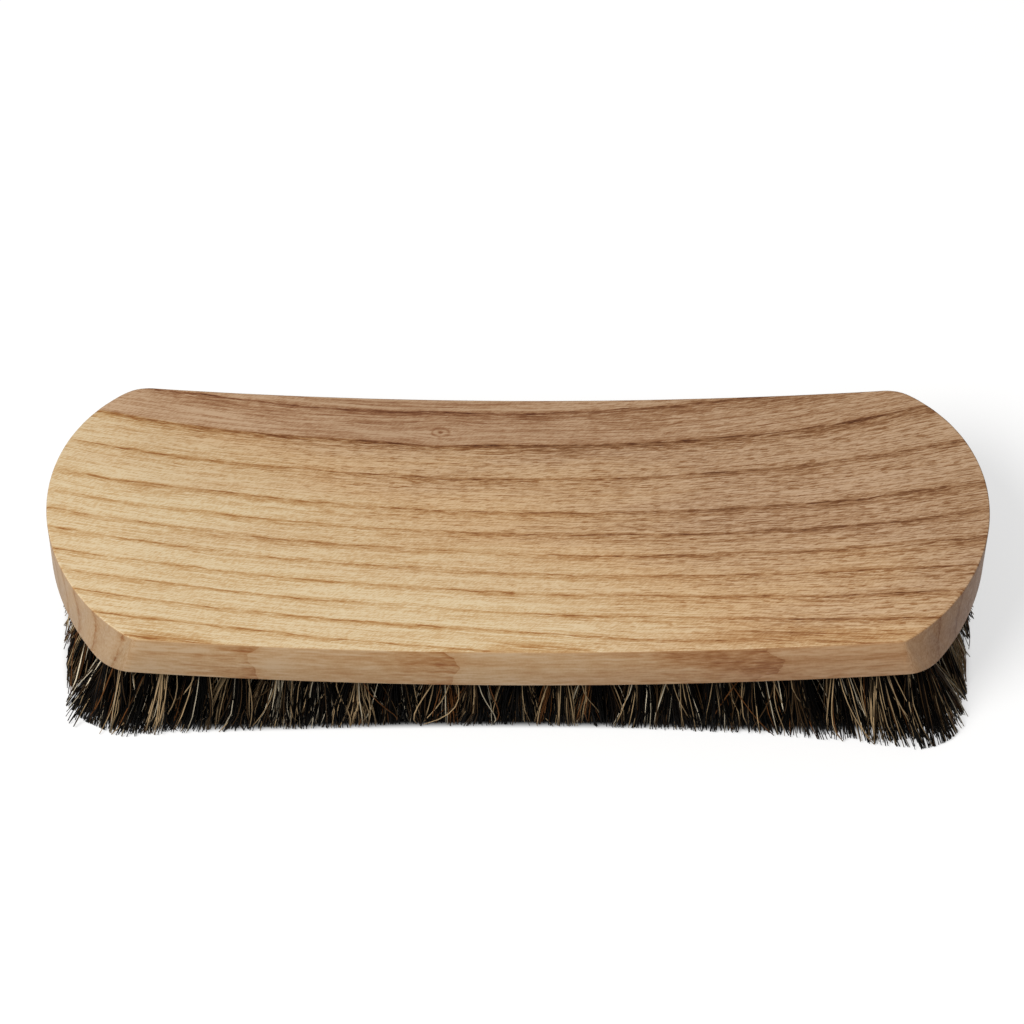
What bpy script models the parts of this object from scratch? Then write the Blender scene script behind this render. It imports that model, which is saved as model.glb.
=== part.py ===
"""A horsehair shoe brush: a curved wooden block with fanned blind holes, and a tuft of hair in each hole.

Lengths are in metres. +X runs along the brush and +Z up. The origin lies under the middle of the block,
on the plane to which the hair tips are trimmed, so the brush stands on z = 0.
"""

import math
import random

import bmesh
import bpy
from mathutils import Matrix, Vector

# The block, a slab whose faces rise towards its ends
BLOCK_LENGTH = 0.203  # of the top face
BLOCK_WIDTH = 0.066
BLOCK_THICKNESS = 0.013
TOP_BOW = 0.0191  # how far each end's arc stands out beyond the corners, on the top face
TOP_CORNER_RADIUS = 0.007
UNDERSIDE_BOW = 0.0132
UNDERSIDE_CORNER_RADIUS = 0.010
END_UNDERCUT = 0.00065  # how far in each end's arc stands on the underside
EDGE_ROUND = 0.0005
END_RISE = 0.007  # of each end above the middle

# The holes
HOLE_RADIUS = 0.0032
WOOD_ABOVE_HOLES = 0.0045
WOOD_BESIDE_HOLES = 0.0033  # between the outer rows and the long sides
WOOD_BEYOND_HOLES = 0.006  # from the last holes along each row to the ends' arcs
OUTER_ROW_LEAN = math.radians(10)  # the rows fan out across the block

# The hair
HAIR_LENGTH = 0.017  # from the middle of the underside to the tips
ROOT_CLEARANCE = 0.0003  # around and above each packed root
ROOT_PROUD = 0.0004  # how far a packed root stands out of its hole
STRAND_GAP = 0.0006  # between neighbouring strands where they leave the root
TRIM_DEPTH = 0.0005  # what the flat trim takes off the tips
CORNER_SPLAY = 0.003  # how much further out across the brush the hair leans towards the corners
OVERRUN = 0.002  # how far the drills start outside the wood

# Counts
ROW_COUNTS = {"front": 11, "inner_front": 12, "middle": 13, "inner_back": 12, "back": 11}
STRANDS_PER_TUFT = 7
HOLE_SIDES = 10
END_ARC_STEPS = 18
CORNER_STEPS = 3
STRIPS = 24
ROUND_STEPS = 2
SEED = 7

# Shares of a strand's length, of its spread, of its width at the root, and of the pitch of the holes
KNEE_LENGTH_SHARE = 0.5
KNEE_SPREAD_SHARE = 0.34
KNEE_WIDTH_SHARE = 1.05
TIP_WIDTH_SHARE = 1.0
ALONG_SPREAD_SHARE = 0.43
ACROSS_SPREAD_SHARE = 0.38
LEAST_SPREAD_SHARE = 0.55

# From one tuft to the next, so that no two look alike
GOLDEN_ANGLE = math.pi * (3 - math.sqrt(5))

# Colour and roughness
MATERIALS = {
    "wood": ((0.604, 0.423, 0.223), 0.55),
    "horsehair": ((0.020, 0.013, 0.009), 0.45),
}


def clear_scene():
    """Removes every object that the scene starts with."""
    for found in list(bpy.data.objects):
        bpy.data.objects.remove(found)


def make_material(name):
    """A Principled material with this entry's colour and roughness."""
    colour, roughness = MATERIALS[name]
    material = bpy.data.materials.new(name)
    material.use_nodes = True
    shader = material.node_tree.nodes["Principled BSDF"]
    shader.inputs["Base Color"].default_value = (*colour, 1)
    shader.inputs["Roughness"].default_value = roughness
    shader.inputs["Metallic"].default_value = 0
    material.diffuse_color = (*colour, 1)
    return material


def make_object(name, bm, material=None):
    """Turns bm into a named object, smooth apart from its sharp edges."""
    bmesh.ops.recalc_face_normals(bm, faces=bm.faces)
    mesh = bpy.data.meshes.new(name)
    bm.to_mesh(mesh)
    bm.free()
    mesh.shade_smooth()
    mesh.set_sharp_from_angle(angle=math.radians(30))
    if material:
        mesh.materials.append(material)
    made = bpy.data.objects.new(name, mesh)
    bpy.context.scene.collection.objects.link(made)
    return made


class Rise:
    """The arc that the slab's faces follow, lifted straight up from the flat."""

    def __init__(self):
        half = BLOCK_LENGTH / 2
        self.radius = (half**2 + END_RISE**2) / (2 * END_RISE)

    def place(self, along, across, height):
        """Where a point of the flat slab goes. Heights are above the underside, whose middle stays put."""
        return Vector((along, across, height + self.radius - math.sqrt(self.radius**2 - along**2)))

    def up(self, along):
        """The upward normal of the faces at this distance along them."""
        angle = math.asin(along / self.radius)
        return Vector((-math.sin(angle), 0, math.cos(angle)))


class EndArc:
    """The arc of the right-hand end of a face. The left-hand end is its mirror image."""

    def __init__(self, length, bow, corner):
        half = BLOCK_WIDTH / 2
        self.radius = (half**2 + bow**2) / (2 * bow)
        self.centre = Vector((length / 2 - self.radius, 0))
        self.corner = corner

    def outline(self):
        """Points from the front side to the back side: a corner, the end's arc and the other corner."""
        rise = BLOCK_WIDTH / 2 - self.corner
        run = math.sqrt((self.radius - self.corner) ** 2 - rise**2)
        meet = math.atan2(rise, run)
        end = arc_points(self.centre, self.radius, -meet, meet, END_ARC_STEPS)
        corner = self.centre + Vector((run, rise))
        upper = arc_points(corner, self.corner, meet, math.pi / 2, CORNER_STEPS)[1:]
        lower = [Vector((p.x, -p.y)) for p in reversed(upper)]
        return lower + end + upper

    def reach(self, across):
        """How far along the face the arc lies at this distance across it."""
        return self.centre.x + math.sqrt(self.radius**2 - across**2)


def top_arc():
    """The end of the top face."""
    return EndArc(BLOCK_LENGTH, TOP_BOW, TOP_CORNER_RADIUS)


def underside_arc():
    """The end of the underside, squarer than the top face's."""
    return EndArc(BLOCK_LENGTH - 2 * END_UNDERCUT, UNDERSIDE_BOW, UNDERSIDE_CORNER_RADIUS)


def arc_points(centre, radius, start, end, steps):
    """Points on an arc, both ends included."""
    turns = [start + (end - start) * i / steps for i in range(steps + 1)]
    return [centre + radius * Vector((math.cos(t), math.sin(t))) for t in turns]


def block_mesh(rise):
    """The slab: two outlines joined by a wall, its rims rounded, cut across into strips and lifted."""
    bm = bmesh.new()
    underside = outline_loop(bm, underside_arc(), 0)
    top = outline_loop(bm, top_arc(), BLOCK_THICKNESS)
    bm.faces.new(underside)
    bm.faces.new(top)
    for i in range(len(top)):
        bm.faces.new((underside[i - 1], underside[i], top[i], top[i - 1]))
    bmesh.ops.recalc_face_normals(bm, faces=bm.faces)
    flat = [f for f in bm.faces if abs(f.normal.z) > abs(f.normal.x) + abs(f.normal.y)]
    rims = list({e for f in flat for e in f.edges})
    bmesh.ops.bevel(bm, geom=rims, offset=EDGE_ROUND, segments=ROUND_STEPS, profile=0.5, affect="EDGES")
    for x in strip_stations():
        bmesh.ops.bisect_plane(
            bm, geom=[*bm.verts, *bm.edges, *bm.faces], plane_co=(x, 0, 0), plane_no=(1, 0, 0)
        )
    for vert in bm.verts:
        vert.co = rise.place(*vert.co)
    return bm


def outline_loop(bm, arc, height):
    """Adds the vertices of a face's outline at this height."""
    right = arc.outline()
    left = [-p for p in right]
    return [bm.verts.new((p.x, p.y, height)) for p in right + left]


def strip_stations():
    """Where the slab is cut across, so that its faces can rise: at even steps within its ends."""
    return [BLOCK_LENGTH * (i / STRIPS - 1 / 2) for i in range(1, STRIPS)]


class Row:
    """One row of holes along the block."""

    def __init__(self, name, number):
        self.name = name
        self.count = ROW_COUNTS[name]
        self.across = row_pitch() * (number - (len(ROW_COUNTS) - 1) / 2)
        self.lean = OUTER_ROW_LEAN * self.across / outer_row()
        half = underside_arc().reach(self.across) - WOOD_BEYOND_HOLES - HOLE_RADIUS
        self.pitch = 2 * half / (self.count - 1)

    def stations(self):
        """Where along the block each hole of the row lies."""
        return [self.pitch * (i - (self.count - 1) / 2) for i in range(self.count)]

    def frame(self, rise, along):
        """A hole's frame: its origin in the hole's mouth on the underside, and +Z up its axis."""
        up = rise.up(along) - Vector((0, math.tan(self.lean), 0))
        turn = up.to_track_quat("Z", "Y").to_matrix().to_4x4()
        mouth = rise.place(along, self.across, 0) + Vector((0, 0, HAIR_LENGTH))
        return Matrix.Translation(mouth) @ turn


def outer_row():
    """How far the outer rows lie from the middle of the block."""
    return BLOCK_WIDTH / 2 - WOOD_BESIDE_HOLES - HOLE_RADIUS


def row_pitch():
    """The distance from row to row."""
    return 2 * outer_row() / (len(ROW_COUNTS) - 1)


def hole_depth():
    """How deep the blind holes go."""
    return BLOCK_THICKNESS - WOOD_ABOVE_HOLES


def drill_mesh(frames):
    """One drill for each hole, from outside the wood to the hole's blind end."""
    bm = bmesh.new()
    middle = Matrix.Translation((0, 0, (hole_depth() - OVERRUN) / 2))
    for frame in frames:
        bmesh.ops.create_cone(
            bm,
            cap_ends=True,
            segments=HOLE_SIDES,
            radius1=HOLE_RADIUS,
            radius2=HOLE_RADIUS,
            depth=hole_depth() + OVERRUN,
            matrix=frame @ middle,
        )
    return bm


def packed_root(bm, twist):
    """Adds the packed root of a tuft. Returns the faces in its mouth that the strands grow from."""
    radius = HOLE_RADIUS * math.cos(math.pi / HOLE_SIDES) - ROOT_CLEARANCE
    mouth = Matrix.Translation((0, 0, -ROOT_PROUD)) @ Matrix.Rotation(twist, 4, "Z")
    bmesh.ops.create_circle(
        bm, cap_ends=True, cap_tris=True, segments=STRANDS_PER_TUFT, radius=radius, matrix=mouth
    )
    sectors = list(bm.faces)
    wall = bmesh.ops.extrude_edge_only(bm, edges=[e for e in bm.edges if e.is_boundary])["geom"]
    deep = [v for v in wall if isinstance(v, bmesh.types.BMVert)]
    bmesh.ops.translate(bm, verts=deep, vec=(0, 0, hole_depth() - ROOT_CLEARANCE + ROOT_PROUD))
    bmesh.ops.holes_fill(bm, edges=[e for e in bm.edges if e.is_boundary])
    bmesh.ops.recalc_face_normals(bm, faces=bm.faces)
    bmesh.ops.inset_individual(bm, faces=sectors, thickness=STRAND_GAP / 2, use_even_offset=True)
    return sectors


def grow_strand(bm, root, stops):
    """Extrudes a root face to each stop: a point, and the strand's width there over that at the root."""
    face = root
    width = 1
    for point, share in stops:
        face = bmesh.ops.extrude_discrete_faces(bm, faces=[face])["faces"][0]
        corners = list(face.verts)
        bmesh.ops.translate(bm, verts=corners, vec=point - face.calc_center_median())
        grown = share / width
        bmesh.ops.scale(bm, verts=corners, vec=(grown, grown, grown), space=Matrix.Translation(-point))
        width = share


def corner_splay(foot):
    """How much further out the hair over this foot leans: little in the middle and most at the corners."""
    along = foot.x / underside_arc().reach(outer_row())
    across = foot.y / outer_row()
    return Vector((0, CORNER_SPLAY * along**4 * across * abs(across), 0))


def strand_stops(frame, pitch, root, spread):
    """A strand's knee and its tip, which is just under the floor, in the hole's frame."""
    turn = frame.to_3x3()
    down = -turn.col[2]
    foot = frame.translation - down * ((frame.translation.z + TRIM_DEPTH) / down.z)
    foot = foot + corner_splay(foot)
    outward = (turn @ Vector((root.x, root.y, 0))).normalized()
    stray = Vector((outward.x * ALONG_SPREAD_SHARE * pitch, outward.y * ACROSS_SPREAD_SHARE * row_pitch(), 0))
    tip = frame.inverted() @ (foot + stray * spread)
    knee = root.lerp(tip, KNEE_SPREAD_SHARE)
    knee.z = root.lerp(tip, KNEE_LENGTH_SHARE).z
    return (knee, KNEE_WIDTH_SHARE), (tip, TIP_WIDTH_SHARE)


def tuft_mesh(frame, pitch, twist, chance):
    """A tuft in its hole's frame: a packed root, and strands that flare out of it, trimmed at the floor."""
    bm = bmesh.new()
    for root in packed_root(bm, twist):
        spread = chance.uniform(LEAST_SPREAD_SHARE, 1)
        grow_strand(bm, root, strand_stops(frame, pitch, root.calc_center_median(), spread))
    floor = frame.inverted()
    bmesh.ops.bisect_plane(
        bm,
        geom=[*bm.verts, *bm.edges, *bm.faces],
        plane_co=floor.translation,
        plane_no=-floor.to_3x3().col[2],
        clear_outer=True,
    )
    bmesh.ops.holes_fill(bm, edges=[e for e in bm.edges if e.is_boundary])
    return bm


def make_block(rise, frames, material):
    """The block, with a blind hole for each tuft. Returns it and the drills that cut the holes."""
    block = make_object("block", block_mesh(rise), material)
    block.location = (0, 0, HAIR_LENGTH)
    drills = make_object("hole_drills", drill_mesh(frames))
    drills.hide_render = True
    drills.display_type = "WIRE"
    cut = block.modifiers.new("tuft_holes", "BOOLEAN")
    cut.operation = "DIFFERENCE"
    cut.object = drills
    return [block, drills]


def make_tufts(rise, rows, material):
    """A tuft in each hole, row by row from the front."""
    chance = random.Random(SEED)
    tufts = []
    for row in rows:
        for number, along in enumerate(row.stations(), 1):
            frame = row.frame(rise, along)
            bm = tuft_mesh(frame, row.pitch, len(tufts) * GOLDEN_ANGLE, chance)
            tuft = make_object(f"tuft_{row.name}_{number:02d}", bm, material)
            tuft.matrix_world = frame
            tufts.append(tuft)
    return tufts


def main():
    """Builds the block and its tufts, all under one empty."""
    clear_scene()
    materials = {name: make_material(name) for name in MATERIALS}
    rise = Rise()
    rows = [Row(name, number) for number, name in enumerate(ROW_COUNTS)]
    frames = [row.frame(rise, along) for row in rows for along in row.stations()]
    pieces = make_block(rise, frames, materials["wood"])
    pieces += make_tufts(rise, rows, materials["horsehair"])
    brush = bpy.data.objects.new("brush", None)
    bpy.context.scene.collection.objects.link(brush)
    for piece in pieces:
        piece.parent = brush


main()
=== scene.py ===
"""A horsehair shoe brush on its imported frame: a sawn hardwood block, its hair, a studio and a camera.

Lengths are in metres unless a name says mm. +X runs along the brush and +Z up. The brush stands on z = 0.
"""

import logging
import math
from dataclasses import dataclass, field
from enum import Enum
from functools import reduce
from typing import Callable, Iterable, Sequence, Union

import bpy
import numpy as np
from mathutils import Matrix, Vector


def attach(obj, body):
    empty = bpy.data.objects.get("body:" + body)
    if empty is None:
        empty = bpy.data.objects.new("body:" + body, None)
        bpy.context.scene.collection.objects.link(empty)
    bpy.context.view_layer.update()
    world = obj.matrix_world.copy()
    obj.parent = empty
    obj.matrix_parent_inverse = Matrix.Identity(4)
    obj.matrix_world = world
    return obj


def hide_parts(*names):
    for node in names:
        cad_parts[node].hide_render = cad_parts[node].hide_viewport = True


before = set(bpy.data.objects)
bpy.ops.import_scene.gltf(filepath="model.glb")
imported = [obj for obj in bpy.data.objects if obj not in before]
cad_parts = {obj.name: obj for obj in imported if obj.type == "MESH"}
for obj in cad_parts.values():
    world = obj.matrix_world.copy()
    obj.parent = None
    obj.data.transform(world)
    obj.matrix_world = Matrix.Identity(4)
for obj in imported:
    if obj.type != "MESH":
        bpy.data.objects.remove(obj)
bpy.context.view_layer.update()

LOG = logging.getLogger("brush")
MM = 0.001
SPIN_SENSE = -1  # the spin operator turns clockwise about +Z for a positive angle
HAIR_MAP = "hair"
TONE_COLUMNS = 64  # the hairs' map is divided into this many tones
PALE_TONES = (0.69, 1.0)  # the part of the map past the black and dark brown hairs
FULL_TUFT, QUICK_TUFT = 284, 110  # how many hairs of the main kind a tuft has
SENSOR = 36  # the width of the camera's sensor in mm

Socket = bpy.types.NodeSocket
Thing = bpy.types.Object
Value = Union[float, Socket]
Numbers = np.ndarray


def linear(red: int, green: int, blue: int) -> tuple[float, float, float, float]:
    """The linear colour, with alpha, of an sRGB colour given from 0 to 255."""
    parts = [c / 255 for c in (red, green, blue)]
    return (*[c / 12.92 if c <= 0.04045 else ((c + 0.055) / 1.055) ** 2.4 for c in parts], 1.0)


# Modelling by hand


def deselect() -> None:
    """Leaves object mode with nothing selected."""
    if bpy.context.object and bpy.context.object.mode != "OBJECT":
        bpy.ops.object.mode_set(mode="OBJECT")
    bpy.ops.object.select_all(action="DESELECT")


def choose(thing: Thing) -> None:
    """Makes an object the only selected one and the active one.

    Args:
        thing: the object.
    """
    deselect()
    thing.select_set(True)
    bpy.context.view_layer.objects.active = thing


def edit(thing: Thing) -> None:
    """Opens an object in edit mode with nothing selected.

    Args:
        thing: the object.
    """
    choose(thing)
    bpy.ops.object.mode_set(mode="EDIT")
    bpy.ops.mesh.select_all(action="DESELECT")


def pick(thing: Thing, mode: str, wanted: Callable[[Vector, Vector], bool]) -> None:
    """Selects the edges or faces of an object whose middle and way are wanted.

    Args:
        thing: the object in edit mode.
        mode: EDGE or FACE.
        wanted: says of a middle and a way whether that part is selected. An edge's way is its direction, and
            a face's is its normal.
    """
    bpy.ops.mesh.select_mode(type=mode)
    bpy.ops.mesh.select_all(action="DESELECT")
    bpy.ops.object.mode_set(mode="OBJECT")
    mesh = thing.data
    if mode == "EDGE":
        for edge in mesh.edges:
            start, end = (mesh.vertices[i].co for i in edge.vertices)
            edge.select = wanted((start + end) / 2, (end - start).normalized())
    else:
        for face in mesh.polygons:
            face.select = wanted(face.center, face.normal)
    bpy.ops.object.mode_set(mode="EDIT")


def settle(thing: Thing) -> None:
    """Applies an object's place, turn and size to its mesh."""
    choose(thing)
    bpy.ops.object.transform_apply(location=True, rotation=True, scale=True)


def apply_modifier(thing: Thing, name: str) -> None:
    """Applies one modifier of thing."""
    choose(thing)
    bpy.ops.object.modifier_apply(modifier=name)


def join(pieces: Sequence[Thing], name: str) -> Thing:
    """Joins objects into one.

    Args:
        pieces: the objects.
        name: the name of the joined one.

    Returns:
        The joined object.
    """
    deselect()
    for piece in pieces:
        piece.select_set(True)
    bpy.context.view_layer.objects.active = pieces[0]
    bpy.ops.object.join()
    joined = bpy.context.object
    joined.name = joined.data.name = name
    return joined


def copy_of(thing: Thing, place: Matrix) -> Thing:
    """Copies an object.

    Args:
        thing: the object.
        place: where the copy goes.

    Returns:
        The copy, with a mesh of its own.
    """
    twin = thing.copy()
    twin.data = thing.data.copy()
    twin.matrix_world = place
    bpy.context.scene.collection.objects.link(twin)
    return twin


def mesh_from_arrays(name: str, points: Numbers, corners: Numbers, starts: Numbers) -> Thing:
    """Makes an object of many copied faces.

    Args:
        name: the object's name.
        points: the vertices, one row each.
        corners: the vertex of each face corner.
        starts: where each face starts in corners.

    Returns:
        The new object, linked to the scene.
    """
    mesh = bpy.data.meshes.new(name)
    mesh.vertices.add(len(points))
    mesh.vertices.foreach_set("co", points.astype(np.float32).ravel())
    mesh.loops.add(len(corners))
    mesh.loops.foreach_set("vertex_index", corners.astype(np.int32))
    mesh.polygons.add(len(starts))
    mesh.polygons.foreach_set("loop_start", starts.astype(np.int32))
    mesh.update(calc_edges=True)
    made = bpy.data.objects.new(name, mesh)
    bpy.context.scene.collection.objects.link(made)
    return made


# Materials


@dataclass(frozen=True)
class Grains:
    """A kind of noise."""

    sizes: tuple  # of its grains along the three axes
    detail: float = 2.0  # how many finer layers it has
    rough: float = 0.5  # how strong each finer layer is


class Wiring:
    """The nodes of one material, added and joined by name."""

    def __init__(self, name: str) -> None:
        """Starts a material with its Principled shader.

        Args:
            name: the material's name.
        """
        self.material = bpy.data.materials.new(name)
        self.material.use_nodes = True
        self.tree = self.material.node_tree
        self.shader = self.tree.nodes["Principled BSDF"]

    def put(self, socket: Socket, value: Value) -> None:
        """Links or sets a socket.

        Args:
            socket: the input.
            value: another node's output, or a plain value. A colour may lack its alpha.
        """
        if isinstance(value, bpy.types.NodeSocket):
            self.tree.links.new(value, socket)
        elif isinstance(value, (tuple, list, Vector)) and len(value) == 3 and socket.type == "RGBA":
            socket.default_value = (*value, 1)
        else:
            socket.default_value = value

    def node(self, kind: str, inputs: dict, **settings: object) -> bpy.types.Node:
        """Adds a node.

        Args:
            kind: its type.
            inputs: what goes into it, by the name or number of the input.
            settings: its other properties.

        Returns:
            The node.
        """
        made = self.tree.nodes.new(kind)
        for name, setting in settings.items():
            setattr(made, name, setting)
        for key, value in inputs.items():
            self.put(made.inputs[key], value)
        return made

    def math(
        self, operation: str, first: Value, second: Value = 0.0, third: Value = 0.0, clamp: bool = False
    ) -> Socket:
        """The result of one Math node."""
        inputs = {0: first, 1: second, 2: third}
        return self.node("ShaderNodeMath", inputs, operation=operation, use_clamp=clamp).outputs[0]

    def plus(self, first: Value, *others: Value) -> Socket:
        """Several values added."""
        return reduce(lambda total, value: self.math("ADD", total, value), others, first)

    def times(self, first: Value, *others: Value) -> Socket:
        """Several values multiplied."""
        return reduce(lambda total, value: self.math("MULTIPLY", total, value), others, first)

    def minus(self, first: Value, second: Value) -> Socket:
        """The first value less the second."""
        return self.math("SUBTRACT", first, second)

    def times_plus(self, first: Value, second: Value, third: Value) -> Socket:
        """The first value times the second, plus the third."""
        return self.math("MULTIPLY_ADD", first, second, third)

    def fade(self, distance: Value, length: float) -> Socket:
        """1 where the distance is 0, and 1/e of it after each length."""
        return self.math("EXPONENT", self.times(distance, -1 / length))

    def bell(self, off: Value) -> Socket:
        """1 where off is 0, falling alike on both sides."""
        return self.math("EXPONENT", self.times(off, off, -1.0))

    def scaled(self, vector: Value, across: Sequence[float]) -> Socket:
        """A vector with each part multiplied."""
        inputs = {0: vector, 1: tuple(across)}
        return self.node("ShaderNodeVectorMath", inputs, operation="MULTIPLY").outputs[0]

    def parts(self, vector: Value) -> tuple[Socket, Socket, Socket]:
        """The three parts of a vector."""
        return tuple(self.node("ShaderNodeSeparateXYZ", {0: vector}).outputs)

    def joined(self, x: Value, y: Value, z: Value = 0.0) -> Socket:
        """The vector of three parts."""
        return self.node("ShaderNodeCombineXYZ", {0: x, 1: y, 2: z}).outputs[0]

    def noise(self, vector: Value, grains: Grains) -> Socket:
        """Adds noise.

        Args:
            vector: the point.
            grains: the kind of noise.

        Returns:
            The noise, from 0 to 1.
        """
        stretched = self.scaled(vector, [1 / s for s in grains.sizes])
        inputs = {"Vector": stretched, "Scale": 1.0, "Detail": grains.detail, "Roughness": grains.rough}
        return self.node("ShaderNodeTexNoise", inputs).outputs["Fac"]

    def chance(self, number: Value) -> Socket:
        """An even chance from 0 to 1 for each number."""
        return self.node("ShaderNodeTexWhiteNoise", {"W": number}, noise_dimensions="1D").outputs["Value"]

    def spread(
        self, value: Value, low: Value, high: Value, new_low: Value, new_high: Value, **kind: str
    ) -> Socket:
        """A value moved from one range to another, in a straight line by default, and kept in it."""
        inputs = {"Value": value, "From Min": low, "From Max": high, "To Min": new_low, "To Max": new_high}
        return self.node("ShaderNodeMapRange", inputs, **kind).outputs["Result"]

    def step(self, value: Value, low: Value, high: Value) -> Socket:
        """0 below low, 1 above high and a smooth rise between."""
        return self.spread(value, low, high, 0.0, 1.0, interpolation_type="SMOOTHSTEP")

    def blend(self, share: Value, low: Value, high: Value, kind: str = "MIX") -> Socket:
        """Two colours mixed.

        Args:
            share: how much of the mix is used.
            low: the first colour.
            high: the second colour.
            kind: how they are mixed.

        Returns:
            The colour.
        """
        made = self.tree.nodes.new("ShaderNodeMix")
        made.data_type = "RGBA"
        made.blend_type = kind
        self.put(made.inputs["Factor"], share)
        self.put(made.inputs[6], low)
        self.put(made.inputs[7], high)
        return made.outputs[2]

    def relief(self, height: Value, strength: float, distance: float) -> None:
        """Gives the shader a bump of this height."""
        made = self.node("ShaderNodeBump", {"Strength": strength, "Distance": distance, "Height": height})
        self.put(self.shader.inputs["Normal"], made.outputs[0])


@dataclass(frozen=True)
class WoodPoint:
    """What the hardwood's material knows of a point of the block before it has a colour. Sizes in mm."""

    place: Value  # the point in the block
    x: Value
    y: Value
    side: Value  # how far it belongs to a long side
    end: Value  # how far it belongs to an end
    upright: Value  # how far it belongs to either of these
    ring: Value  # where across the log it lies
    grain: Value  # where along and across the grain it lies
    warm: Value  # how brown the wood is
    inside: Value  # how far it lies in the reddish wood


@dataclass(frozen=True)
class SawnHardwood:
    """Ring-porous hardwood: dark pore lines at each ring, streaks, pore dashes and silky figure, partly
    lighter ray flecks and partly a painted sheen. Sizes in mm.

    Colours are those of the clean wood. A stain is the share of red, green and blue light that is left where
    the wood's dark matter has a density of 1.
    """

    pale: tuple = (213, 187, 146)
    honey: tuple = (201, 166, 124)
    brown: tuple = (184, 150, 117)
    heart: tuple = (187, 152, 119)
    deep_heart: tuple = (178, 143, 111)
    heart_deepens: tuple = (-65, -25)  # from the left along the brush
    heart_fades: tuple = (-20, 45)
    side_share: tuple = (0.94, 0.81, 0.74)
    end_share: tuple = (0.76, 0.68, 0.67)
    pale_stain: tuple = (0.76, 0.60, 0.43)
    brown_stain: tuple = (0.65, 0.53, 0.41)
    heart_stain: tuple = (0.66, 0.52, 0.42)
    warming: tuple = (150, 59)  # over this length and width the wood turns from pale to brown
    mean_warmth: float = 0.57
    front_ring: float = 5.1
    back_ring: float = 8.7
    widens_at: float = 2.1
    line_at: float = -2.2
    line_fade: float = 0.38  # how far the pore line reaches in front of the ring's edge
    rear_fade: float = 0.28  # and behind it
    ripple: tuple = (0.9, 0.2)  # on the top face and on the long sides
    waver: float = 1.7
    slant: tuple = (-0.023, 0.0014)  # how the rings run askew: in the middle, and its change per mm
    tilt: tuple = (0.63, 0.0168)  # how they lean: in the middle, and its change per mm
    top_height: float = 30.0
    rise_diameter: float = 1479.0
    heart_at: float = 21.0
    knot: tuple = (-16.8, 24.2)
    knot_length: float = 1.6  # how much longer than wide the knot is
    side_shift: tuple = (1.63, 0.0233, -0.00042)  # where the long sides have them, by powers of x
    edge_streaks: tuple = ((-74, 9, -37.3), (5, 12, -31.3), (64, 20, -26.3))  # middle, half length, ring
    streak_width: float = 1.1
    ray_turn: float = math.radians(-32)
    least_density: float = -0.28
    drift: Grains = Grains((60, 12, 12), 3)
    wavering: Grains = Grains((32, 9, 9))
    rippling: Grains = Grains((7, 2.0, 3), 3, 0.6)
    ring_parts: Grains = Grains((13, 3, 6))
    pore_gaps: Grains = Grains((3.2, 0.3, 1), 3, 0.6)
    small_pores: Grains = Grains((2.6, 0.18, 0.6), 0.5)
    large_pores: Grains = Grains((4.8, 0.25, 1), 0.5)
    bands: Grains = Grains((50, 1.0, 3), 4, 0.6)
    long_streaks: Grains = Grains((18, 0.42, 1.5), 3, 0.6)
    short_streaks: Grains = Grains((5, 0.22, 0.8), 2, 0.6)
    streak_gaps: Grains = Grains((9, 0.4, 1), 2, 0.6)
    rays: Grains = Grains((1.0, 0.26, 0.6), 1.5)
    pore_depth: float = 0.00010

    def make(self) -> bpy.types.Material:
        """Builds the material.

        Returns:
            The material, on Object coordinates, so that grain runs through the block.
        """
        w = Wiring("sawn_hardwood")
        point = self.point(w)
        upright, end = point.upright, point.end
        line, shade = self.ring_lines(w, point)
        line = w.times(line, w.times_plus(end, 0.5, w.spread(upright, 0, 1, 1, 0.4)))
        shade = w.times(shade, w.times_plus(point.side, 0.35, w.spread(end, 0, 1, 1, 0.5)))
        calm = w.spread(w.math("MAXIMUM", upright, point.inside), 0, 1, 1, 0.25)
        dashes = w.times(self.dashes(w, point, shade), calm)
        streaks = w.times(self.streaks(w, point, shade), w.spread(end, 0, 1, 1, 0.45))
        # lighter ray flecks and a painted sheen, weaker on the walls
        ray_flecks_and_sheen = w.times(self.ray_flecks_and_sheen(w, point), w.spread(upright, 0, 1, 1, 0.3))
        marks = (self.knot_stain(w, point), self.edge_stain(w, point))
        dark = w.plus(line, shade, dashes, streaks, ray_flecks_and_sheen, *marks)
        dark = w.math("SMOOTH_MAX", dark, self.least_density, 0.35)

        w.put(w.shader.inputs["Base Color"], self.stained(w, point, dark))
        rough = w.plus(w.spread(streaks, -0.5, 0.5, 0.46, 0.56), w.times(dashes, 0.15))
        w.put(w.shader.inputs["Roughness"], rough)
        w.relief(w.plus(w.times(dark, -0.45), w.times(dashes, -0.5)), 0.35, self.pore_depth)
        w.shader.inputs["Specular IOR Level"].default_value = 0.3
        return w.material

    def point(self, w: Wiring) -> WoodPoint:
        """Works out where a point lies on the block and in the log.

        Args:
            w: the material's nodes.

        Returns:
            The point's values.
        """
        coordinates = w.node("ShaderNodeTexCoord", {})
        place = w.scaled(coordinates.outputs["Object"], (1 / MM,) * 3)
        x, y, z = w.parts(place)
        side, end = self.facing(w, coordinates.outputs["Normal"])
        height = w.minus(z, self.top_height)
        depth = w.minus(height, w.times(x, x, 1 / self.rise_diameter))
        ring = self.ring_place(w, place, w.times(height, w.minus(1.0, side)))
        shift = w.times_plus(x, self.side_shift[2], self.side_shift[1])
        shift = w.times_plus(shift, x, self.side_shift[0])
        ring = w.times_plus(shift, side, ring)
        grain = w.joined(x, w.times_plus(w.minus(y, ring), side, ring), depth)
        drift = w.noise(place, self.drift)
        warm = self.warmth(w, x, y, drift)
        inside = self.inside_heart(w, ring, x, drift)
        return WoodPoint(place, x, y, side, end, w.plus(side, end), ring, grain, warm, inside)

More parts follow.
